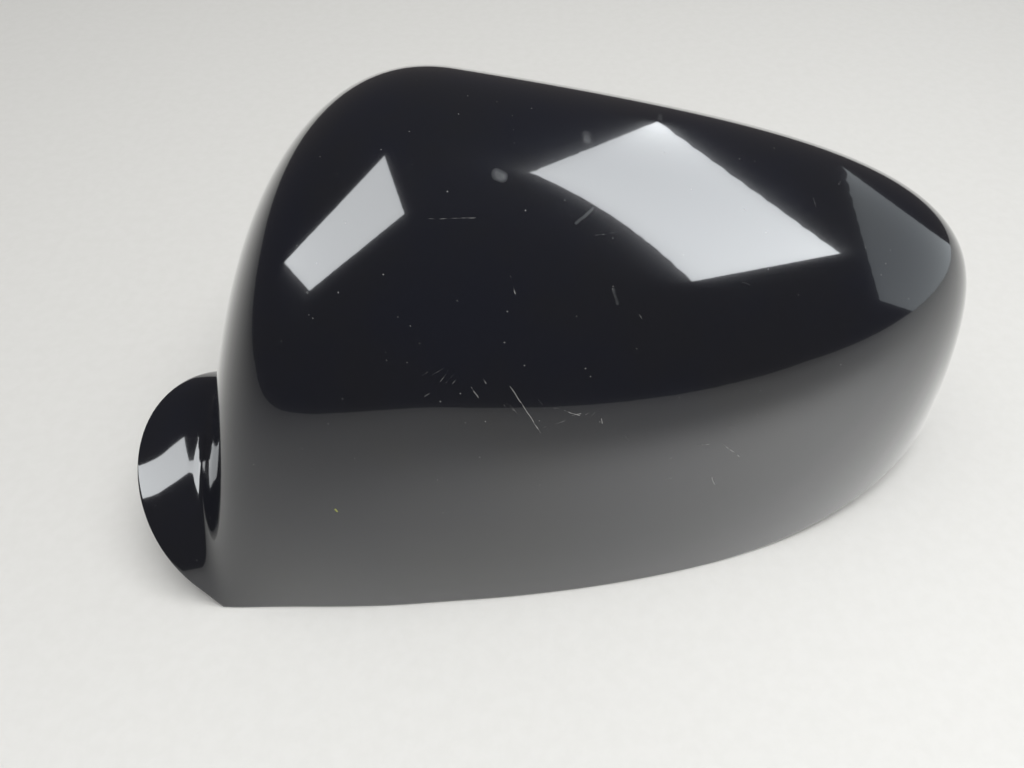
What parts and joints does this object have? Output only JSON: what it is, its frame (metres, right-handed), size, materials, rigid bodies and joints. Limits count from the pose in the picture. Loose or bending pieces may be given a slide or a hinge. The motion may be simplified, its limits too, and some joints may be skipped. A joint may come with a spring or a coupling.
{
  "type": "wing mirror cover",
  "caption": "Left-hand car door mirror cover: a gloss black domed shell with a rounded outboard tip and a flared foot that wraps the hinge neck, open at the rim, with moulded clips inside.",
  "frame": {"origin": "centre of the box around the cover, on the rim plane it lies on", "axes": "+X along the cover from the foot to the outboard tip, +Y from the car's lower edge to its upper edge, +Z out of the rim plane toward the dome's crown"},
  "size_m": [0.2099, 0.1349, 0.106],
  "materials": {
    "paint": "gloss black paint with clear coat over moulded plastic, bare dark plastic inside"
  },
  "bodies": {
    "root": {"mirror_cover": "paint"}
  },
  "joints": []
}
